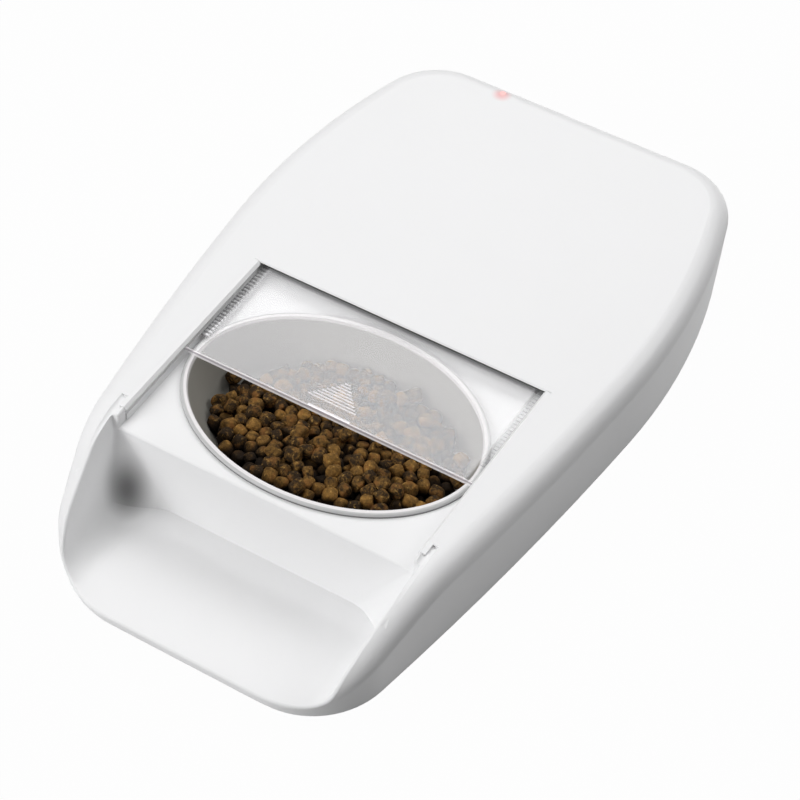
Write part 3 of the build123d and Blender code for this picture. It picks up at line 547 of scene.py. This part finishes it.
def settle_kibble():
    """Centres of the pieces: filled under the heap, then pushed apart."""
    rng = np.random.default_rng(KIBBLE_SEED)
    floor_z = float(BOWL_LOW[2]) + BOWL_FLOOR
    centres = []
    for k, z in enumerate(np.arange(floor_z + KIBBLE_RADIUS, TOPMOST_LAYER, LAYER_STEP)):
        a, b = wall_axes(z)
        for j, y in enumerate(np.arange(-b, b, ROW_STEP)):
            for x in np.arange(-a, a, STEP) + (j % 2) * STEP / 2 + (k % 2) * STEP / 3:
                spot = np.array([x, BOWL_CENTRE[1] + y, z]) + rng.normal(0, SCATTER, 3)
                inside = (spot[0] / (a - KIBBLE_RADIUS)) ** 2
                inside += ((spot[1] - BOWL_CENTRE[1]) / (b - KIBBLE_RADIUS)) ** 2
                top = heap_height(spot[0], spot[1]) - TOP_SINK
                if inside < 1 and top - HEAP_DEPTH < spot[2] < top + rng.normal(0, TOP_SCATTER):
                    centres.append(spot)
    centres = np.array(centres)
    radii = KIBBLE_RADIUS * rng.uniform(0.86, 1.08, len(centres))
    for _ in range(SETTLE_ROUNDS):
        delta = centres[:, None] - centres[None]
        gap = np.sqrt((delta ** 2).sum(2)) + np.eye(len(centres))
        overlap = np.maximum(0, (radii[:, None] + radii[None]) * TOUCHING - gap)
        np.fill_diagonal(overlap, 0)
        centres += (delta / gap[..., None] * overlap[..., None]).sum(1) * SETTLE_RATE
        a, b = wall_axes(centres[:, 2])
        ux = centres[:, 0] / (a - radii)
        uy = (centres[:, 1] - BOWL_CENTRE[1]) / (b - radii)
        reach = np.maximum(1.0, np.sqrt(ux ** 2 + uy ** 2))
        centres[:, 0] /= reach
        centres[:, 1] = BOWL_CENTRE[1] + (centres[:, 1] - BOWL_CENTRE[1]) / reach
        centres[:, 2] = np.maximum(centres[:, 2], floor_z + radii)
    return centres, radii


def kibble_shape(rng):
    """One piece: a short cut rod, a little out of round, with soft edges; about one unit in radius."""
    shape = bmesh.new()
    tall = rng.uniform(0.72, 1.0)
    oval_turn, lobe_turn = rng.uniform(0, 6), rng.uniform(0, 6)
    slant = rng.uniform(-KIBBLE_SLANT, KIBBLE_SLANT)
    rows = []
    for z, r in ROD_PROFILE:
        if r == 0:
            rows.append([shape.verts.new((0, 0, z * tall))])
            continue
        row = []
        for i in range(KIBBLE_SIDES):
            t = 2 * math.pi * i / KIBBLE_SIDES
            oval = KIBBLE_OVAL * math.sin(2 * t + oval_turn)
            out = r * (1 + oval + KIBBLE_LOBES * math.sin(3 * t + lobe_turn))
            out *= 1 + rng.gauss(0, KIBBLE_LUMPS)
            x, y = out * math.cos(t), out * math.sin(t)
            row.append(shape.verts.new((x, y, (z + slant * x) * tall)))
        rows.append(row)
    for lower, upper in zip(rows, rows[1:]):
        for i in range(KIBBLE_SIDES):
            j = (i + 1) % KIBBLE_SIDES
            if len(lower) == 1:
                shape.faces.new((lower[0], upper[j], upper[i]))
            elif len(upper) == 1:
                shape.faces.new((lower[i], lower[j], upper[0]))
            else:
                shape.faces.new((lower[i], lower[j], upper[j], upper[i]))
    return shape


def make_kibble():
    """All pieces in one mesh, each with its own tone, and each point's depth in the heap for its painted
    shade.
    """
    rng = random.Random(KIBBLE_SEED)
    shapes = []
    for _ in range(KIBBLE_FORMS):
        shape = kibble_shape(rng)
        mesh = bpy.data.meshes.new("kibble_form")
        shape.to_mesh(mesh)
        shape.free()
        shapes.append(mesh)
    whole = bmesh.new()
    tone_layer = whole.verts.layers.float.new("tone")
    depth_layer = whole.verts.layers.float.new("depth")
    centres, radii = settle_kibble()
    for centre, radius in zip(centres, radii):
        turn = Euler([rng.uniform(0, 2 * math.pi) for _ in range(3)]).to_matrix().to_4x4()
        place = Matrix.Translation(Vector(centre)) @ turn @ Matrix.Scale(float(radius), 4)
        start = len(whole.verts)
        whole.from_mesh(rng.choice(shapes))
        whole.verts.ensure_lookup_table()
        fresh = whole.verts[start:]
        bmesh.ops.transform(whole, matrix=place, verts=fresh)
        tone = rng.uniform(0, 1)
        for vert in fresh:
            vert[tone_layer] = tone
            # depth under the heap's top, for the painted shade between pieces
            vert[depth_layer] = heap_height(vert.co.x, vert.co.y) - vert.co.z
    mesh = bpy.data.meshes.new("kibble")
    whole.to_mesh(mesh)
    whole.free()
    for shape in shapes:
        bpy.data.meshes.remove(shape)
    for polygon in mesh.polygons:
        polygon.use_smooth = True
    pieces = bpy.data.objects.new("kibble", mesh)
    bpy.context.collection.objects.link(pieces)
    smooth = pieces.modifiers.new("rounded", "SUBSURF")
    smooth.levels = smooth.render_levels = 1
    mesh.materials.append(kibble_finish())
    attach(pieces, "feeder")
    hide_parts("kibble")


# ---------------------------------------------------------------- stage
def make_camera():
    """Long lens, above and to the right of the tray."""
    camera = bpy.data.cameras.new("camera")
    camera.lens = LENS
    camera.sensor_width = SENSOR_WIDTH
    camera.clip_end = SIGHT_LIMIT
    holder = bpy.data.objects.new("camera", camera)
    holder.location = CAMERA_PLACE
    holder.rotation_euler = [math.radians(90 - CAMERA_PITCH), 0, math.radians(CAMERA_AZIMUTH)]
    holder.rotation_euler.rotate_axis("Z", math.radians(CAMERA_ROLL))
    bpy.context.collection.objects.link(holder)
    bpy.context.scene.camera = holder


DISK_SIZE = 1.2
FEEDER_MIDDLE = (0, 0, 0.03)
TRAY_CORNER = (-0.09, -0.12, 0.028)
SPOT_DEGREES = 8.0
SPOT_SOFTNESS = 0.15


def hang_lamp(name, kind, place, target, power):
    """A lamp in its place, turned to its target."""
    lamp = bpy.data.lights.new(name, kind)
    lamp.energy = power
    holder = bpy.data.objects.new(name, lamp)
    holder.location = place
    holder.rotation_euler = (Vector(target) - Vector(place)).to_track_quat("-Z", "Y").to_euler()
    bpy.context.collection.objects.link(holder)
    return lamp


def soft_disk(name, place, power):
    """Wide round lamp on the whole feeder."""
    lamp = hang_lamp(name, "AREA", place, FEEDER_MIDDLE, power)
    lamp.shape = "DISK"
    lamp.size = DISK_SIZE


def tray_spot(name, place, power):
    """Narrow soft spot that opens up the shaded corner of the tray."""
    lamp = hang_lamp(name, "SPOT", place, TRAY_CORNER, power)
    lamp.spot_size = math.radians(SPOT_DEGREES)
    lamp.spot_blend = 1.0
    lamp.shadow_soft_size = SPOT_SOFTNESS


FLOOR_HALF = 4.0


def make_floor():
    """Pale floor: white to the eye and in reflections, with a soft shadow; clear from below."""
    mesh = bpy.data.meshes.new("floor")
    far, near = FLOOR_HALF, -FLOOR_HALF
    corners = [(near, near, 0), (far, near, 0), (far, far, 0), (near, far, 0)]
    mesh.from_pydata(corners, [], [(0, 1, 2, 3)])
    floor = bpy.data.objects.new("floor", mesh)
    bpy.context.collection.objects.link(floor)
    paint = Paint("floor_white")
    plain = paint.node("ShaderNodeBsdfDiffuse", None, {"Color": FLOOR_GREY})
    glow = paint.node("ShaderNodeEmission", None, {"Color": WHITE, "Strength": 1.0})
    eye = paint.node("ShaderNodeLightPath", output="Is Camera Ray")
    gloss = paint.node("ShaderNodeLightPath", output="Is Glossy Ray")
    through = paint.node("ShaderNodeLightPath", output="Is Transmission Ray")
    seen = (eye + gloss + through).clamp() * FLOOR_GLOW
    above = paint.between_shaders(seen, plain, glow)
    under = paint.node("ShaderNodeNewGeometry", output="Backfacing")
    clear = paint.node("ShaderNodeBsdfTransparent")
    mesh.materials.append(paint.finish(paint.between_shaders(under, above, clear)))


def make_world():
    """White behind the feeder, and a faint even light from all round."""
    paint = Paint("studio", bpy.data.worlds, "ShaderNodeOutputWorld")
    eye = paint.node("ShaderNodeLightPath", output="Is Camera Ray")
    room = paint.node("ShaderNodeBackground", None, {"Color": WHITE, "Strength": ROOM_STRENGTH})
    backdrop = paint.node("ShaderNodeBackground", None, {"Color": WHITE, "Strength": 1.0})
    bpy.context.scene.world = paint.finish(paint.between_shaders(eye, room, backdrop))


def make_lights():
    """Two wide lamps in front, two behind, one above, and a spot into the corner of the tray."""
    soft_disk("front_left", (-1.3, -1.6, 1.0), 13.0)
    soft_disk("front", (-0.8, -1.9, 1.0), 22.5)
    soft_disk("back_right", (1.2, 1.4, 1.4), 18.0)
    soft_disk("back", (-0.6, 1.3, 1.6), 16.0)
    soft_disk("top", (-0.3, 0.1, 2.2), 12.0)
    tray_spot("tray_fill", (1.2, -1.5, 1.15), 20.0)


make_camera()
make_world()
make_lights()
make_floor()
dress_nodes()
make_kibble()

bpy.context.scene.view_settings.view_transform = "Standard"
